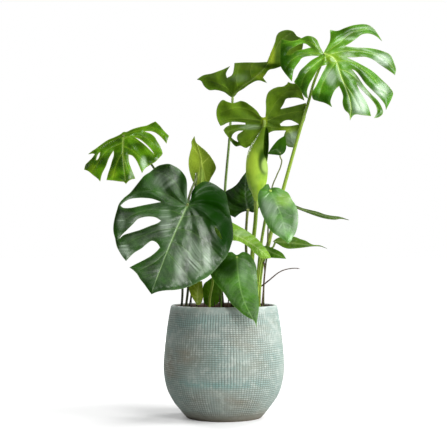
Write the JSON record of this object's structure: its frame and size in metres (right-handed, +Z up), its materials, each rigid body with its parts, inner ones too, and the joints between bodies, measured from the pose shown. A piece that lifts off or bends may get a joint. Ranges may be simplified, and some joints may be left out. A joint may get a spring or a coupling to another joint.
{
  "type": "potted swiss cheese plant",
  "caption": "Split-leaf houseplant with arching stalks, large cut and holed leaves and a newly unrolling leaf, rooted in soil in a round glazed pot that stands on its flat foot.",
  "frame": {"origin": "centre of the pot's flat foot, on the surface it stands on", "axes": "+Z up; +X to the right and +Y away from the viewer as the plant is seen from its front"},
  "size_m": [0.6439, 0.3718, 0.832],
  "materials": {
    "pot": "matte weathered glaze",
    "soil": "rough",
    "stalk": "satin",
    "root": "matte",
    "leaf_bright": "satin",
    "leaf_deep": "glossy",
    "leaf_olive": "matte",
    "leaf_new": "satin",
    "leaf_mid": "glossy"
  },
  "bodies": {
    "root": {"pot": "pot", "soil": "soil", "stalk_upper_right": "stalk", "blade_upper_right": "leaf_bright", "stalk_top": "stalk", "blade_top": "leaf_olive", "stalk_upper_middle": "stalk", "blade_upper_middle": "leaf_olive", "stalk_new_roll": "stalk", "blade_new_roll": "leaf_new", "stalk_small_upper": "stalk", "blade_small_upper": "leaf_mid", "stalk_upper_left": "stalk", "blade_upper_left": "leaf_bright", "stalk_front_left": "stalk", "blade_front_left": "leaf_deep", "stalk_left_heart": "stalk", "blade_left_heart": "leaf_olive", "stalk_dark_middle": "stalk", "blade_dark_middle": "leaf_deep", "stalk_middle_heart": "stalk", "blade_middle_heart": "leaf_mid", "stalk_right_high": "stalk", "blade_right_high": "leaf_mid", "stalk_right_low": "stalk", "blade_right_low": "leaf_mid", "stalk_right_small": "stalk", "blade_right_small": "leaf_mid", "stalk_lime": "stalk", "blade_lime": "leaf_new", "stalk_lower_front": "stalk", "blade_lower_front": "leaf_mid", "stalk_low_olive": "stalk", "blade_low_olive": "leaf_olive", "stalk_low_dark": "stalk", "blade_low_dark": "leaf_deep", "aerial_root_long": "root", "aerial_root_arching": "root"}
  },
  "joints": []
}
